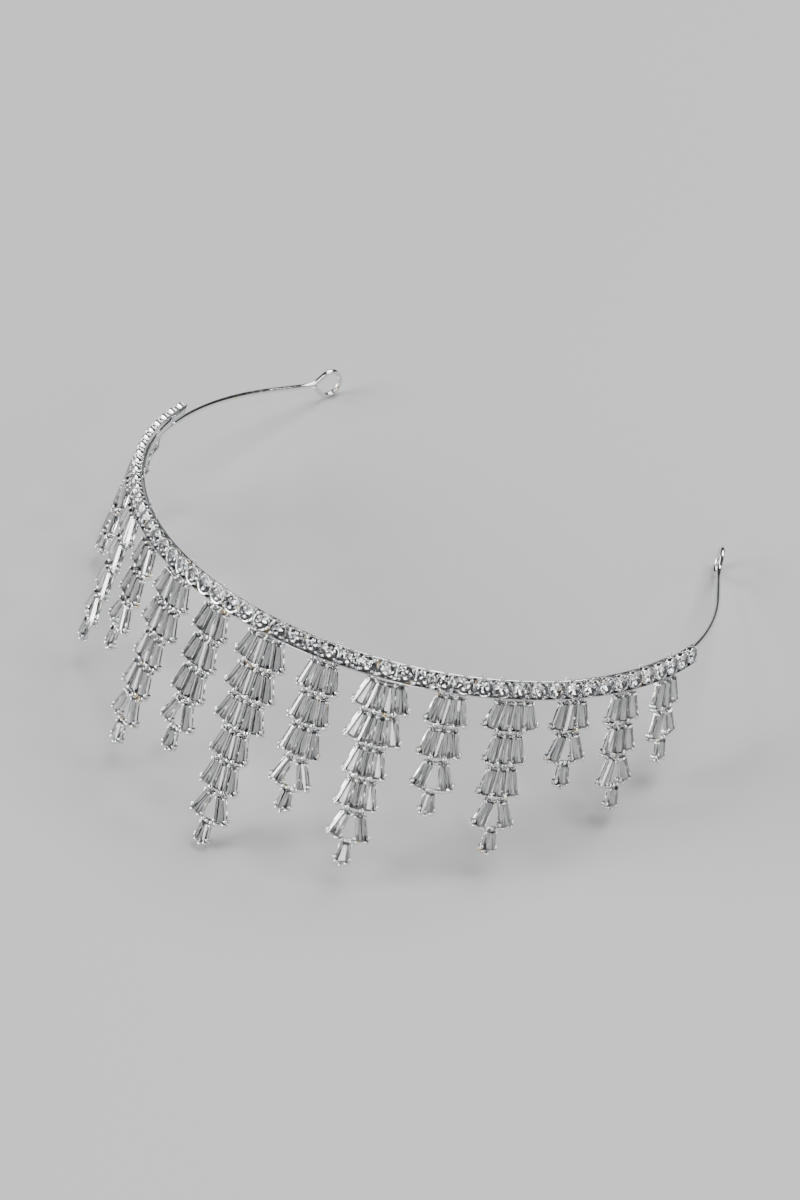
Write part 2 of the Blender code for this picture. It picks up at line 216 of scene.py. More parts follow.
# Spread of the claws' and posts' sizes, as shares of the size
END_CLAW_SPREAD = (0.88, 1.06)
SIDE_CLAW_SPREAD = (0.9, 1.05)
POST_SPREAD = (0.92, 1.06)
LINK_CLAW_SPREAD = (0.85, 1.1)

# A post's swell: place as a share of its length, and radius as a share of its own
POST_SWELL = ((0.0, 0.95), (0.25, 1.1), (0.5, 1.18), (0.75, 1.1), (1.0, 0.95))

# Sides of the round rods
ROD_SIDES = 10
RAIL_SIDES = 8
POST_SIDES = 12
BEAD_SIDES = 12

# A claw's bead: height of its dome and radius of its stem as shares of its radius, the stem's top below the
# dome's middle as a share of the dome's height, and the rings round the dome in degrees
BEAD_DOME = 0.8
BEAD_STEM = 0.84
BEAD_NECK = 0.7
BEAD_STEPS = (-35, -12, 12, 36, 58, 78)

# Rings round the domed ends of a rod, from its end
ROD_DOME = (math.radians(75), math.radians(45))

# Angles above which an edge stays crisp
METAL_SHARP = math.radians(42)
WIRE_SHARP = math.radians(60)

# Step cut of a baguette, from the keel up to the table: inset from its sides, from its narrow end and from
# its wide end, and height
STEP_CUT = (
    (1.6 * MM, 0.30 * MM, 0.42 * MM, -BAGUETTE_PAVILION),
    (0.80 * MM, 0.20 * MM, 0.32 * MM, -0.98 * MM),
    (0.50 * MM, 0.14 * MM, 0.24 * MM, -0.72 * MM),
    (0.24 * MM, 0.08 * MM, 0.14 * MM, -0.42 * MM),
    (0.0, 0.0, 0.0, -0.06 * MM),
    (0.0, 0.0, 0.0, 0.04 * MM),
    (0.38 * MM, 0.14 * MM, 0.32 * MM, 0.30 * MM),
    (0.76 * MM, 0.26 * MM, 0.62 * MM, BAGUETTE_CROWN),
)
KEEL_HALF = 0.03 * MM

HALF_FAN = math.atan((BAGUETTE_WIDE - BAGUETTE_NARROW) / 2 / BAGUETTE_LENGTH)
OUTER_STRAND = len(STRAND_TIERS) - 1
BAND_HALF = OUTER_STRAND * STRAND_PITCH + END_MARGIN
BAND_FACETS = 2 * round(BAND_HALF / ROUND_PITCH / ROUNDS_ON_FACET)
ROUND_COUNT = BAND_FACETS * ROUNDS_ON_FACET
PLATE_BACK = PLATE_FRONT - PLATE_THICKNESS
GIRDLE = PLATE_FRONT + ROUND_CUP
ROUND_UP = (LEDGE_HEIGHT + BAND_HEIGHT) / 2 - CUP_DROP

# Camera, fitted to the band, the strands and the wires of the photograph
CAMERA_PLACE = Vector((174.7, -272.6, 377.3)) * MM
CAMERA_AZIMUTH = math.radians(-31.66)
CAMERA_ELEVATION = math.radians(48.19)
CAMERA_ROLL = math.radians(1.5)
PHOTO_HEIGHT = 1200              # pixels
CAMERA_FOCAL = 2297              # pixels
SENSOR = 36.0                    # millimetres along the photograph's height

# Looks: stops of the colour ramps, each a position and a colour
PLATING_STOPS = (
    (0.0, (0.58, 0.59, 0.61)),
    (0.45, (0.74, 0.745, 0.76)),
    (0.62, (0.80, 0.80, 0.80)),
    (0.70, (0.82, 0.70, 0.48)),
)
ROUND_STOPS = ((0.3, (0.86, 0.88, 0.91)), (0.7, (0.94, 0.93, 0.92)))
ROUND_REFRACTION = 1.65
# Baguettes: a grey that drifts at random from stone to stone, kept dark as painted shade for the dark body
# that clear stones show
BAGUETTE_TINT_AND_SHADE_STOPS = ((0.3, (0.59, 0.605, 0.62)), (0.7, (0.69, 0.685, 0.68)))
BAGUETTE_REFRACTION = 2.4
FLOOR_STOPS = ((0.3, (0.36, 0.363, 0.367)), (0.7, (0.38, 0.38, 0.38)))

# Studio
FLOOR_RADIUS = 2.5
LIT_PLACE = Vector((0.0, 0.0, 0.02))  # where the lights aim
FAR_LIGHTS = (                   # name, place that it shines from, width across in degrees, and strength
    ("key", (-0.62, -0.46, 0.32), 34.0, 5.6),
    ("top", (0.05, 0.45, 0.75), 38.0, 4.1),
    ("front_left", (-0.16, -0.72, 0.14), 12.0, 0.2),
    ("front_right", (0.32, -0.66, 0.13), 12.0, 0.2),
    ("front_side", (0.75, -0.5, 0.42), 16.0, 0.5),
    ("side", (0.7, 0.1, 0.35), 20.0, 0.9),
    ("glint_left", (-0.5, -0.1, 0.6), 8.0, 0.5),
    ("glint_right", (0.45, -0.3, 0.75), 8.0, 0.5),
    ("glint_back", (0.5, 0.5, 0.6), 8.0, 0.5),
)
BACKDROP_STOPS = (               # height of a direction, and the colour of the surroundings there
    (0.0, (0.52, 0.53, 0.54)),
    (0.05, (0.32, 0.325, 0.33)),
    (0.12, (0.06, 0.06, 0.062)),
    (0.5, (0.025, 0.025, 0.026)),
)

chance = random.Random(7)


def cone_point(angle, up, out):
    """A point on the band's cone: up along its slope, out from it, at an angle round the head."""
    radius = BAND_RADIUS - up * math.sin(CONE_ANGLE) + out * math.cos(CONE_ANGLE)
    height = up * math.cos(CONE_ANGLE) + out * math.sin(CONE_ANGLE)
    return Vector((radius * math.sin(angle), BAND_RADIUS - radius * math.cos(angle), height))


def cone_frame(angle, up=0.0):
    """The local frame there: X along the band, Y up its slope, Z out from it."""
    along = Vector((math.cos(angle), math.sin(angle), 0.0))
    out = Vector((
        math.sin(angle) * math.cos(CONE_ANGLE),
        -math.cos(angle) * math.cos(CONE_ANGLE),
        math.sin(CONE_ANGLE),
    ))
    local = Matrix((along, out.cross(along), out)).transposed().to_4x4()
    local.translation = cone_point(angle, up, 0.0)
    return local


def tiara_frame():
    """The tiara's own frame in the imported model, worked out from the mount on the back of the head strip."""
    mount = next(m for m in frame["record"]["mounts"] if m["name"] == "inner_face")
    axis = Vector(mount["axis"])
    tilt = math.atan2(axis.z, axis.y) + CONE_ANGLE
    turn = Matrix.Rotation(tilt, 4, "X")
    face = cone_point(0.0, BAND_HEIGHT / 2, PLATE_BACK - SEAT_GAP - STRIP_THICKNESS)
    return Matrix.Translation(Vector(mount["pos_m"]) - turn @ face) @ turn


TIARA = tiara_frame()


class Shape:
    """Closed solids that are gathered into one mesh."""

    def __init__(self):
        self.points = []
        self.faces = []

    def add(self, points, faces, local):
        first = len(self.points)
        self.points.extend(local @ point for point in points)
        self.faces.extend(tuple(first + i for i in face) for face in faces)

    def skin(self, rings, local):
        """A solid skinned through rings with the same number of points each, and closed at both ends."""
        count = len(rings[0])
        faces = []
        for level in range(len(rings) - 1):
            low = level * count
            for i in range(count):
                j = (i + 1) % count
                faces.append((low + i, low + j, low + count + j, low + count + i))
        last = (len(rings) - 1) * count
        faces.append(tuple(reversed(range(count))))
        faces.append(tuple(range(last, last + count)))
        self.add([point for ring in rings for point in ring], faces, local)


def turned(profile, sides, centre=(0.0, 0.0)):
    """Rings of a solid turned about Z through the centre, from a profile of radii and heights."""
    rings = []
    for radius, height in profile:
        ring = []
        for i in range(sides):
            turn = i * 2 * math.pi / sides
            ring.append(Vector((
                centre[0] + radius * math.cos(turn),
                centre[1] + radius * math.sin(turn),
                height,
            )))
        rings.append(ring)
    return rings


def directions(path):
    """Unit directions along a path at each of its points."""
    found = []
    for i in range(len(path)):
        before = path[max(i - 1, 0)]
        after = path[min(i + 1, len(path) - 1)]
        found.append((after - before).normalized())
    return found


def tube(path, radii, sides=ROD_SIDES):
    """Rings of a round rod along a path, with domed ends. radii is one for each point, or one in all."""
    if not isinstance(radii, (list, tuple)):
        radii = [radii] * len(path)
    ahead = directions(path)
    places = list(zip(path, ahead, radii))
    first = [
        (path[0] - ahead[0] * radii[0] * math.sin(a), ahead[0], radii[0] * math.cos(a)) for a in ROD_DOME
    ]
    last = [
        (path[-1] + ahead[-1] * radii[-1] * math.sin(a), ahead[-1], radii[-1] * math.cos(a))
        for a in reversed(ROD_DOME)
    ]
    side = Vector((0.0, 0.0, 1.0))
    if abs(ahead[0].dot(side)) > 0.9:
        side = Vector((1.0, 0.0, 0.0))
    rings = []
    for point, along, radius in first + places + last:
        side = (side - along * side.dot(along)).normalized()
        other = along.cross(side)
        ring = []
        for i in range(sides):
            turn = (i + 0.5) * 2 * math.pi / sides
            ring.append(point + radius * (math.cos(turn) * side + math.sin(turn) * other))
        rings.append(ring)
    return rings


def bead(shape, place, radius, low, top, local, lean=(0.0, 0.0)):
    """A claw: a stem from a height, ending in a low dome that leans over the stone."""
    dome = BEAD_DOME * radius
    rise = top - dome
    x, y = place
    stem = BEAD_STEM * radius
    rings = turned([(stem, low), (stem, rise - BEAD_NECK * dome)], BEAD_SIDES, place)
    profile = [
        (radius * math.cos(math.radians(a)), rise + dome * math.sin(math.radians(a))) for a in BEAD_STEPS
    ]
    rings += turned(profile, BEAD_SIDES, (x + lean[0], y + lean[1]))
    shape.skin(rings, local)


def rounded_section(low, high, back, front, radius):
    """Outline of a bar's section as (up, out) pairs, with round corners."""
    corners = ((low, back, 180), (high, back, 90), (high, front, 0), (low, front, -90))
    outline = []
    for up, out, start in corners:
        middle_up = up + (radius if up == low else -radius)
        middle_out = out + (radius if out == back else -radius)
        for step in (0, 30, 60, 90):
            turn = math.radians(start - step)
            outline.append((middle_up + radius * math.sin(turn), middle_out + radius * math.cos(turn)))
    return outline


def sweep_band(shape, outline, half, stations):
    """A bar of that section, swept round the cone from -half to half."""
    rings = []
    for i in range(stations + 1):
        angle = half * (2 * i / stations - 1)
        rings.append([cone_point(angle, up, out) for up, out in outline])
    shape.skin(rings, TIARA)


def make_piece(name, shape, look, sharp=None):
    """An object from a shape, riding on the frame. sharp is the angle above which an edge stays crisp."""
    mesh = bpy.data.meshes.new(name)
    mesh.from_pydata(shape.points, [], shape.faces)
    work = bmesh.new()
    work.from_mesh(mesh)
    bmesh.ops.recalc_face_normals(work, faces=work.faces)
    work.to_mesh(mesh)
    work.free()
    if sharp is not None:
        mesh.shade_smooth()
        mesh.set_sharp_from_angle(angle=sharp)
    mesh.materials.append(look)
    piece = bpy.data.objects.new(name, mesh)
    bpy.context.scene.collection.objects.link(piece)
    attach(piece, "root")
    return piece


# Materials

def new_material(name):
    """A material with its nodes, its links and its shader."""
    made = bpy.data.materials.new(name)
    made.use_nodes = True
    nodes = made.node_tree.nodes
    return made, nodes, made.node_tree.links, nodes["Principled BSDF"]


def add_ramp(nodes, stops):
    """A colour ramp with these stops, each a position and a colour."""
    ramp = nodes.new("ShaderNodeValToRGB")
    while len(ramp.color_ramp.elements) < len(stops):
        ramp.color_ramp.elements.new(0.5)
    for element, (place, colour) in zip(ramp.color_ramp.elements, stops):
        element.position = place
        element.color = (*colour, 1.0)
    return ramp


def add_noise(nodes, links, scale, detail):
    """A noise texture in the object's own space."""
    where = nodes.new("ShaderNodeTexCoord")
    noise = nodes.new("ShaderNodeTexNoise")
    noise.inputs["Scale"].default_value = scale
    noise.inputs["Detail"].default_value = detail
    links.new(where.outputs["Object"], noise.inputs["Vector"])
    return noise


def noise_ramp(nodes, links, scale, detail, stops):
    """A noise texture through a colour ramp with these stops."""
    noise = add_noise(nodes, links, scale, detail)
    ramp = add_ramp(nodes, stops)
    links.new(noise.outputs["Fac"], ramp.inputs["Fac"])
    return ramp


def grey(value):
    return (value, value, value)


def plated_metal():
    """Bright plating: small patches where it turns warm, uneven polish and a faint cast skin."""
    made, nodes, links, shader = new_material("plated_metal")
    shader.inputs["Metallic"].default_value = 1.0
    colour = noise_ramp(nodes, links, scale=420.0, detail=3.0, stops=PLATING_STOPS)
    links.new(colour.outputs["Color"], shader.inputs["Base Color"])
    polish_stops = ((0.3, grey(0.05)), (0.7, grey(0.2)))
    polish = noise_ramp(nodes, links, scale=900.0, detail=4.0, stops=polish_stops)
    links.new(polish.outputs["Color"], shader.inputs["Roughness"])
    skin = add_noise(nodes, links, scale=2600.0, detail=2.0)
    bump = nodes.new("ShaderNodeBump")
    bump.inputs["Strength"].default_value = 0.35
    bump.inputs["Distance"].default_value = 0.05 * MM
    links.new(skin.outputs["Fac"], bump.inputs["Height"])
    links.new(bump.outputs["Normal"], shader.inputs["Normal"])
    return made


def crystal(name, refraction, body_stops):
    """Clear cut glass with a grey tint that drifts from stone to stone and a hint of dust on its polish; in
    the baguettes the grey is dark, painted shade for the dark body that clear stones show.
    """
    made, nodes, links, shader = new_material(name)
    shader.inputs["Transmission Weight"].default_value = 1.0
    shader.inputs["IOR"].default_value = refraction
    colour = noise_ramp(nodes, links, scale=260.0, detail=2.0, stops=body_stops)
    links.new(colour.outputs["Color"], shader.inputs["Base Color"])
    dust_stops = ((0.45, grey(0.0)), (0.8, grey(0.06)))
    polish = noise_ramp(nodes, links, scale=1500.0, detail=3.0, stops=dust_stops)
    links.new(polish.outputs["Color"], shader.inputs["Roughness"])
    return made


# Band

def round_frame(index):
    """Local frame of a round stone: its middle at the origin, Z out."""
    step = 2 * BAND_HALF / BAND_RADIUS / ROUND_COUNT
    return TIARA @ cone_frame((index - (ROUND_COUNT - 1) / 2) * step, ROUND_UP)


def build_band(metal):
    shape = Shape()
    half = BAND_HALF / BAND_RADIUS
    plate_front = PLATE_BACK + BACK_PLATE
    plate = rounded_section(BACK_PLATE_FOOT, BACK_PLATE_TOP, PLATE_BACK, plate_front, EDGE_ROUND)
    ledge = rounded_section(0.0, LEDGE_HEIGHT, PLATE_BACK, PLATE_FRONT + LEDGE_REACH, LEDGE_ROUND)
    sweep_band(shape, plate, half, BAND_STATIONS)
    sweep_band(shape, ledge, half, BAND_STATIONS)
    for index in range(ROUND_COUNT):
        local = round_frame(index)
        add_cup(shape, local, plate_front)
        for degrees in PRONG_TURNS:
            turn = math.radians(degrees)
            place = (PRONG_RING * math.cos(turn), PRONG_RING * math.sin(turn))
            lean = (-PRONG_LEAN * math.cos(turn), -PRONG_LEAN * math.sin(turn))
            bead(shape, place, PRONG_RADIUS, plate_front, GIRDLE + PRONG_RISE, local, lean)
    piece = make_piece("band_setting", shape, metal, METAL_SHARP)
    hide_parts("band")


def add_cup(shape, local, foot):
    """A cup whose wall flares out to the stone's girdle and whose inside is a polished cone."""
    levels = {"foot": foot, "rim": GIRDLE + CUP_RISE}
    profile = [(radius, levels[level] + height) for level, height, radius in CUP_SECTION]
    shape.skin(turned(profile, CUP_SIDES), local)


def round_brilliant(shape, radius, crown, depth, local):
    """A brilliant cut: table, eight stars, eight kites, girdle halves, and a pavilion of mains and halves."""
    points = []

    def ring(count, distance, height, offset=0.0):
        first = len(points)
        for i in range(count):
            turn = (i + offset) * 2 * math.pi / count
            points.append(Vector((distance * math.cos(turn), distance * math.sin(turn), height)))
        return first

    table = ring(8, TABLE_RING * radius, crown)
    star = ring(8, STAR_RING * radius, STAR_HEIGHT * crown, 0.5)
    upper = ring(16, radius, GIRDLE_HALF)
    lower = ring(16, radius, -GIRDLE_HALF)
    halves = ring(8, PAVILION_RING * radius, -PAVILION_DROP * depth, 0.5)
    point = ring(1, 0.0, -depth)
    faces = [tuple(table + i for i in range(8))]
    for i in range(8):
        after = (i + 1) % 8
        before = (i - 1) % 8
        g = 2 * i
        g_mid = g + 1
        g_after = (g + 2) % 16
        faces.append((table + i, star + i, table + after))
        faces.append((table + i, star + before, upper + g, star + i))
        faces.append((star + i, upper + g, upper + g_mid))
        faces.append((star + i, upper + g_mid, upper + g_after))
        faces.append((upper + g, lower + g, lower + g_mid, upper + g_mid))
        faces.append((upper + g_mid, lower + g_mid, lower + g_after, upper + g_after))
        faces.append((point, halves + before, lower + g, halves + i))
        faces.append((halves + i, lower + g, lower + g_mid))
        faces.append((halves + i, lower + g_mid, lower + g_after))
    shape.add(points, faces, local)


def wobble(centre, most):
    """A small random turn about a point, as a stone has that was set by hand."""
    turn = Matrix.Rotation(chance.uniform(-most, most), 4, "X")
    turn = turn @ Matrix.Rotation(chance.uniform(-most, most), 4, "Y")
    return Matrix.Translation(centre) @ turn @ Matrix.Translation(-centre)


def build_round_stones(look):
    shape = Shape()
    for index in range(ROUND_COUNT):
        spin = Matrix.Rotation(chance.uniform(0, math.pi / 4), 4, "Z")
        place = Matrix.Translation(Vector((0.0, 0.0, GIRDLE)))
        local = round_frame(index) @ place @ wobble(Vector((0.0, 0.0, 0.0)), ROUND_WOBBLE) @ spin
        round_brilliant(shape, ROUND_RADIUS, ROUND_CROWN, ROUND_DEPTH, local)
    make_piece("band_stones", shape, look)


def build_head_strip(metal):
    shape = Shape()
    half = (BAND_HALF - STRIP_SHORTER) / BAND_RADIUS
    low = (BAND_HEIGHT - STRIP_HEIGHT) / 2
    front = PLATE_BACK - SEAT_GAP
    back = front - STRIP_THICKNESS
    bar = rounded_section(low, low + STRIP_HEIGHT, back, front, STRIP_ROUND)
    sweep_band(shape, bar, half, STRIP_STATIONS)
    for steps in PEG_STEPS:
        for side in (-1, 1):
            for offset in (-PEG_SPACING / 2, PEG_SPACING / 2):
                angle = (side * steps * PEG_STEP + offset) / BAND_RADIUS
                ups = (low + STRIP_HEIGHT / 2, PEG_TOP)
                path = [cone_point(angle, up, (front + back) / 2) for up in ups]
                shape.skin(tube(path, PEG_RADIUS), TIARA)
    piece = make_piece("head_strip_bar", shape, metal, METAL_SHARP)
    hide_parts("head_strip")


# Wire ends

def wire_path(side):
    """Middle line of a wire end: behind the band, round a wide bend, straight, then round the loop."""
    out = PLATE_BACK - SEAT_GAP - WIRE_RADIUS
    band_end = BAND_HALF / BAND_RADIUS
    lap = WIRE_LAP / BAND_RADIUS
    path = [cone_point(band_end - lap * (1 - i / LAP_STEPS), WIRE_UP, out) for i in range(LAP_STEPS + 1)]
    chord = 2 * WIRE_BEND_RADIUS * math.sin(WIRE_BEND / BEND_STEPS / 2)
    point = path[-1]
    for i in range(BEND_STEPS):
        turn = band_end + (i + 0.5) * WIRE_BEND / BEND_STEPS
        point = point + chord * Vector((math.cos(turn), math.sin(turn), 0.0))
        path.append(point)
    heading = band_end + WIRE_BEND
    ahead = Vector((math.cos(heading), math.sin(heading), 0.0))
    rise = Vector((0.0, 0.0, 1.0))
    neck = point + WIRE_STRAIGHT * ahead
    opening = math.asin(LOOP_RADIUS / LOOP_THROAT)
    eye = neck + LOOP_THROAT * ahead
    path += [point + WIRE_STRAIGHT * share * ahead for share in STRAIGHT_SHARES]
    leg = LOOP_THROAT * math.cos(opening)
    upper = math.cos(opening) * ahead + math.sin(opening) * rise
    lower = math.cos(opening) * ahead - math.sin(opening) * rise
    path += [neck + leg * share * upper for share in LEG_SHARES]
    sweep = math.pi + 2 * opening
    for i in range(LOOP_STEPS + 1):
        turn = sweep / 2 - i * sweep / LOOP_STEPS
        path.append(eye + LOOP_RADIUS * (math.cos(turn) * ahead + math.sin(turn) * rise))
    path += [neck + leg * share * lower for share in LAST_LEG_SHARES]
    return [Vector((side * p.x, p.y, p.z)) for p in path]


def smoothed(path):
    """The path with its corners cut once, keeping its two ends."""
    eased = [path[0]]
    for a, b in zip(path, path[1:]):
        eased.append(a.lerp(b, 0.25))
        eased.append(a.lerp(b, 0.75))
    eased.append(path[-1])
    return eased


def build_wire(side, name, node, metal):
    shape = Shape()
    shape.skin(tube(smoothed(wire_path(side)), WIRE_RADIUS, WIRE_SIDES), TIARA)
    piece = make_piece(name, shape, metal, WIRE_SHARP)
    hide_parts(node)


# Fringe

def fan(count):
    """Angle between a tier's stones, and radius of their narrow ends round the point they fan out from."""
    step, gap = (PAIR_SPLAY, PAIR_GAP) if count == 2 else (2 * HALF_FAN, STONE_GAP)
    return step, (BAGUETTE_NARROW + gap) / (2 * math.sin(step / 2))


def stone_size(count):
    """Length and widths of a tier's stones. The tip stone has its own."""
    if count == 1:
        return TIP_LENGTH, TIP_NARROW, TIP_WIDE
    return BAGUETTE_LENGTH, BAGUETTE_NARROW, BAGUETTE_WIDE


def stone_turns(count):
    step = fan(count)[0]
    return [(i - (count - 1) / 2) * step for i in range(count)]


def fan_point(count, top, turn, along, across=0.0, depth=0.0):
    """A point of a tier that starts at height top: along a stone from its narrow end, across it and out."""
    start = fan(count)[1]
    x = (start + along) * math.sin(turn) + across * math.cos(turn)
    y = top + start - (start + along) * math.cos(turn) + across * math.sin(turn)
    return Vector((x, y, depth))


def half_width(count, along):
    """Half a stone's width at a distance from its narrow end."""
    length, narrow, wide = stone_size(count)
    return (narrow + (wide - narrow) * along / length) / 2


def add_baguette(shape, count, top, turn, local):
    """A tapered baguette in step cut, from its keel up to its table."""
    length = stone_size(count)[0]
    rings = []
    for inset, narrow_inset, wide_inset, height in STEP_CUT:
        ring = []
        wide_end = length - wide_inset
        for along, side in ((narrow_inset, -1), (wide_end, -1), (wide_end, 1), (narrow_inset, 1)):
            half = max(half_width(count, along) - inset, KEEL_HALF)
            ring.append(fan_point(count, top, turn, along, side * half, height))
        rings.append(ring)
    centre = fan_point(count, top, turn, length / 2)
    shape.skin(rings, local @ wobble(centre, STONE_WOBBLE))


def add_rod(shape, path, radius, local, sides=ROD_SIDES):
    shape.skin(tube(path, radius, sides), local)


def corner_turn(count):
    """Angle from a stone's middle line to the end claw at its corner."""
    length, _, wide = stone_size(count)
    return math.atan((wide / 2 - CORNER_INSET) / (fan(count)[1] + length))


def end_claws(count):
    """Places of the claws across a tier's wide ends, as angles of its fan."""
    step = fan(count)[0]
    half = corner_turn(count)
    if count <= 2:
        return [turn + side * half for turn in stone_turns(count) for side in (-1, 1)]
    inner = [(i - count / 2) * step for i in range(1, count)]
    outer = (count - 1) / 2 * step + half
    return [-outer, *inner, outer]


def add_claws(metal, count, top, local):
    """Beads over the stones' ends and sides."""
    length = stone_size(count)[0]
    turns = stone_turns(count)
    for turn in end_claws(count):
        place = fan_point(count, top, turn, length + END_CLAW_PLACE)
        back = fan_point(count, top, turn, length + END_CLAW_HEAD) - place
        corner = count <= 2 or abs(turn) > abs(turns[-1])
        size = (CORNER_CLAW_RADIUS if corner else END_CLAW_RADIUS) * chance.uniform(*END_CLAW_SPREAD)
        bead(metal, place.xy, size, ROD_DEPTH, END_CLAW_TOP, local, back.xy)
    beside = ((length - SIDE_CLAW_PLACE, SIDE_CLAW_RADIUS), (TOP_CLAW_PLACE, TOP_CLAW_RADIUS))
    for turn in (turns if count <= 2 else (turns[0], turns[-1])):
        sides = (-1, 1) if count <= 2 else (math.copysign(1, turn),)
        for side in sides:
            for along, radius in beside:
                half = half_width(count, along)
                place = fan_point(count, top, turn, along, side * (half + SIDE_CLAW_GAP))
                back = fan_point(count, top, turn, along, side * half) - place
                size = radius * chance.uniform(*SIDE_CLAW_SPREAD)
                bead(metal, place.xy, size, ROD_DEPTH, SIDE_CLAW_TOP, local, back.xy)
    step = fan(count)[0]
    for i in range(1, count):
        place = fan_point(count, top, (i - count / 2) * step, NARROW_CLAW_PLACE)
        bead(metal, place.xy, TOP_CLAW_RADIUS, ROD_DEPTH, NARROW_CLAW_TOP, local, NARROW_CLAW_LEAN)


def add_rails(metal, count, top, local):
    """Rails under the stones' edges, which join the rods at their two ends."""
    length = stone_size(count)[0]
    step = fan(count)[0]
    turns = stone_turns(count)
    if count > 2:
        lines = [((i - count / 2) * step, 0.0) for i in range(1, count)]
        lines += [(turns[0], -1), (turns[-1], 1)]
    else:
        lines = [(turn, side) for turn in turns for side in (-1, 1)]
    for turn, side in lines:
        path = []
        for along in (0.0, length / 2, length):
            across = side * (half_width(count, along) - RAIL_INSET)
            path.append(fan_point(count, top, turn, along, across, RAIL_DEPTH))
        add_rod(metal, path, RAIL_RADIUS, local, RAIL_SIDES)


def across_path(count, top, along, margin):
    """Points across a tier at a distance along its stones, each stone's stretch straight."""
    turns = stone_turns(count)
    path = []
    for i, turn in enumerate(turns):
        for side in (-1, 0, 1):
            outer = (i == 0 and side < 0) or (i == count - 1 and side > 0)
            half = half_width(count, max(along, 0.0)) + (margin if outer else 0.0)
            path.append(fan_point(count, top, turn, along, side * half, ROD_DEPTH))
    return path


def add_posts(metal, xs, high, low, local):
    """Short posts with a swell in the middle, which leave dark holes between them."""
    for x in xs:
        path = [Vector((x, high + (low - high) * share, POST_DEPTH)) for share, _ in POST_SWELL]
        size = POST_RADIUS * chance.uniform(*POST_SPREAD)
        metal.skin(tube(path, [size * swell for _, swell in POST_SWELL], POST_SIDES), local)


def post_places(count):
    """One post over each stone of a tier."""
    return [fan(count)[1] * math.sin(turn) for turn in stone_turns(count)]


def hanger_places(count):
    """The three posts that hang a strand from the band."""
    outer = post_places(count)[-1]
    return [-outer, 0.0, outer]


def add_tier(metal, stones, count, top, local):
    """One tier: its stones, their claws and rails, and the rods along the stones' ends."""
    length = stone_size(count)[0]
    for turn in stone_turns(count):
        add_baguette(stones, count, top, turn, local)
    add_claws(metal, count, top, local)
    add_rails(metal, count, top, local)
    wide_rod = length + WIDE_ROD_PLACE
    if count > 2:
        add_rod(metal, across_path(count, top, wide_rod, WIDE_ROD_MARGIN), ROD_RADIUS, local)
        add_rod(metal, across_path(count, top, NARROW_ROD_PLACE, 0.0), NARROW_ROD_RADIUS, local)
        return
    for turn in stone_turns(count):
        for along, radius in ((wide_rod, ROD_RADIUS), (NARROW_ROD_PLACE, NARROW_ROD_RADIUS)):
            half = half_width(count, max(along, 0.0))
            path = [fan_point(count, top, turn, along, side * half, ROD_DEPTH) for side in (-1, 0, 1)]
            add_rod(metal, path, radius, local)


def add_tip_links(metal, top, tip_top, local):
    """The cast bridge from the splayed pair's inner corners to the top of the tip stone, with claws on it."""
    inner = fan_point(2, top, PAIR_SPLAY / 2, BAGUETTE_LENGTH + LINK_PLACE, -LINK_IN, LINK_DEPTH)
    corner = Vector((TIP_NARROW / 2, tip_top - LINK_FOOT, LINK_DEPTH))
    for side in (-1, 1):
        arm = [Vector((side * p.x, p.y, p.z)) for p in (inner, inner.lerp(corner, 0.5), corner)]
        metal.skin(tube(arm, [LINK_END_RADIUS, LINK_RADIUS, LINK_END_RADIUS], POST_SIDES), local)
    crossing = inner.lerp(corner, LINK_CROSSING)
    crossbar = [Vector((side * crossing.x, crossing.y, LINK_DEPTH)) for side in (-1, 1)]
    add_rod(metal, crossbar, LINK_RADIUS, local)
    for side in (-1, 0, 1):
        place = (side * LINK_CLAW_SHARE * crossing.x, tip_top + LINK_CLAW_RISE)
        size = CORNER_CLAW_RADIUS * chance.uniform(*LINK_CLAW_SPREAD)
        bead(metal, place, size, ROD_DEPTH, LINK_CLAW_TOP, local)


def build_strand(index, metal_look, stone_look):
    """A strand, counted from the middle one: posts under the band, its tiers and the claw at its tip."""
    tiers = STRAND_TIERS[abs(index)]
    local = TIARA @ cone_frame(index * STRAND_PITCH / BAND_RADIUS)
    metal = Shape()
    stones = Shape()
    tops = [-FIRST_DROP - i * TIER_PITCH for i in range(len(tiers))]
    tops[-1] += TIP_RAISE
    add_posts(metal, hanger_places(tiers[0]), HANGER_TOP, tops[0], local)
    for i, count in enumerate(tiers):
        length = stone_size(count)[0]
        add_tier(metal, stones, count, tops[i], local)
        if count > 2:
            start = tops[i] - length - POST_START
            add_posts(metal, post_places(tiers[i + 1]), start, tops[i + 1], local)
        elif count == 2:
            add_tip_links(metal, tops[i], tops[i + 1], local)
        else:
            foot = (0.0, tops[i] - length - TIP_CLAW_DROP)
            bead(metal, foot, CORNER_CLAW_RADIUS, BAR_BACK, TIP_CLAW_TOP, local)
            drop = [Vector((0.0, y, ROD_DEPTH)) for y in (tops[i] - length, foot[1])]
            add_rod(metal, drop, ROD_RADIUS, local)
    name = f"strand_{index + OUTER_STRAND + 1:02d}"
    setting = make_piece(name + "_setting", metal, metal_look, METAL_SHARP)
    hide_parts(name)
    make_piece(name + "_stones", stones, stone_look)


# Studio

def add_floor():
    work = bmesh.new()
    bmesh.ops.create_circle(work, cap_ends=True, segments=96, radius=FLOOR_RADIUS)
    mesh = bpy.data.meshes.new("floor")
    work.to_mesh(mesh)
    work.free()
    made, nodes, links, shader = new_material("floor")
    colour = noise_ramp(nodes, links, scale=3.0, detail=2.0, stops=FLOOR_STOPS)
    links.new(colour.outputs["Color"], shader.inputs["Base Color"])
    shader.inputs["Roughness"].default_value = 0.6
    mesh.materials.append(made)
    floor = bpy.data.objects.new("floor", mesh)
    bpy.context.scene.collection.objects.link(floor)


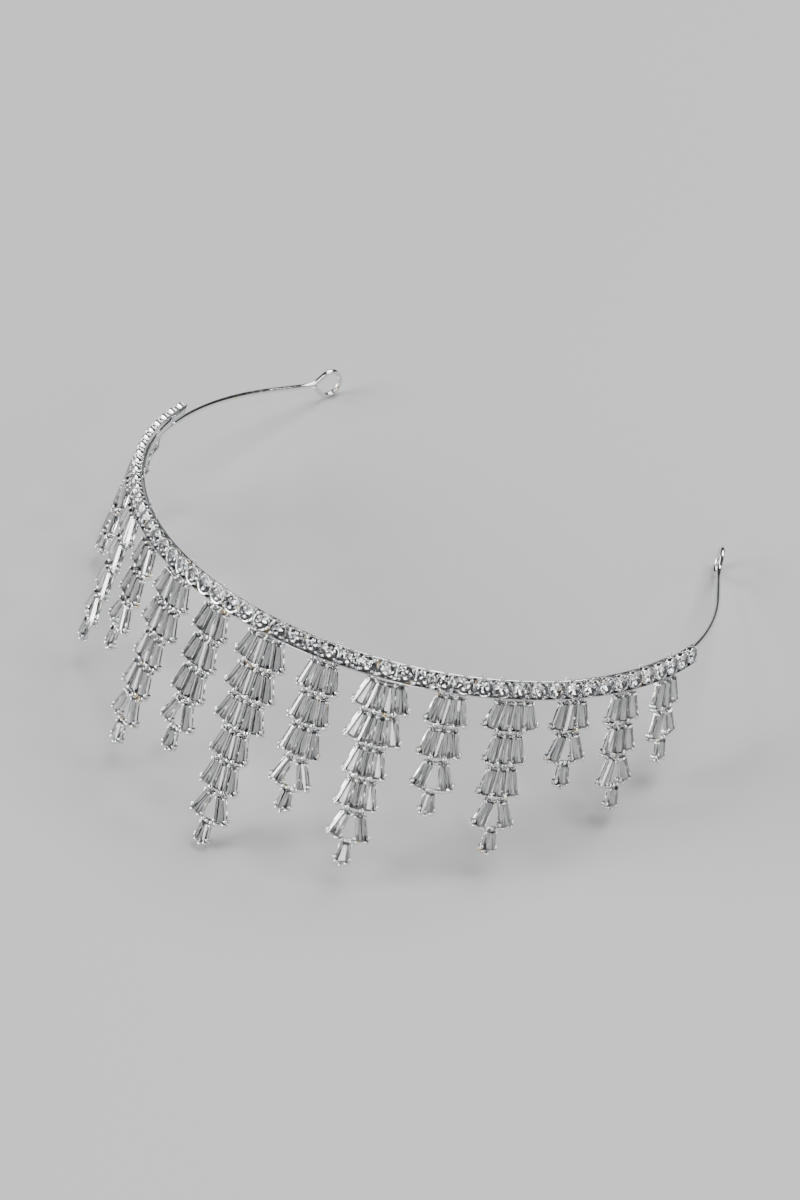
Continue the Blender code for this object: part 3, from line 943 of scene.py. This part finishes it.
def add_far_light(name, place, across, strength):
    """A soft round light far off in the direction of the place, which lights the whole floor alike."""
    data = bpy.data.lights.new(name, "SUN")
    data.angle = math.radians(across)
    data.energy = strength
    lamp = bpy.data.objects.new(name, data)
    lamp.location = place
    lamp.rotation_euler = (LIT_PLACE - Vector(place)).to_track_quat("-Z", "Y").to_euler()
    bpy.context.scene.collection.objects.link(lamp)


def add_backdrop():
    """Surroundings that are pale behind the floor's edge and dark overhead, for contrast in the stones."""
    world = bpy.data.worlds.new("studio")
    world.use_nodes = True
    nodes, links = world.node_tree.nodes, world.node_tree.links
    where = nodes.new("ShaderNodeTexCoord")
    parts = nodes.new("ShaderNodeSeparateXYZ")
    links.new(where.outputs["Generated"], parts.inputs["Vector"])
    ramp = add_ramp(nodes, BACKDROP_STOPS)
    links.new(parts.outputs["Z"], ramp.inputs["Fac"])
    links.new(ramp.outputs["Color"], nodes["Background"].inputs["Color"])
    bpy.context.scene.world = world


def add_camera():
    flat = Vector((math.sin(CAMERA_AZIMUTH), math.cos(CAMERA_AZIMUTH), 0.0))
    ahead = flat * math.cos(CAMERA_ELEVATION) - Vector((0.0, 0.0, math.sin(CAMERA_ELEVATION)))
    level = ahead.to_track_quat("-Z", "Y").to_matrix()
    turn = level @ Matrix.Rotation(CAMERA_ROLL, 3, "Z")
    data = bpy.data.cameras.new("camera")
    data.sensor_width = SENSOR
    data.lens = SENSOR * CAMERA_FOCAL / PHOTO_HEIGHT
    data.clip_start = 0.01
    camera = bpy.data.objects.new("camera", data)
    camera.matrix_world = Matrix.Translation(CAMERA_PLACE) @ turn.to_4x4()
    bpy.context.scene.collection.objects.link(camera)
    bpy.context.scene.camera = camera


def main():
    metal = plated_metal()
    rounds = crystal("crystal_round", ROUND_REFRACTION, ROUND_STOPS)
    baguettes = crystal("crystal_baguette", BAGUETTE_REFRACTION, BAGUETTE_TINT_AND_SHADE_STOPS)
    build_band(metal)
    build_round_stones(rounds)
    build_head_strip(metal)
    build_wire(-1, "wire_left", "wire_end_left", metal)
    build_wire(1, "wire_right", "wire_end_right", metal)
    for index in range(-OUTER_STRAND, OUTER_STRAND + 1):
        build_strand(index, metal, baguettes)
    add_floor()
    add_backdrop()
    for light in FAR_LIGHTS:
        add_far_light(*light)
    add_camera()


main()
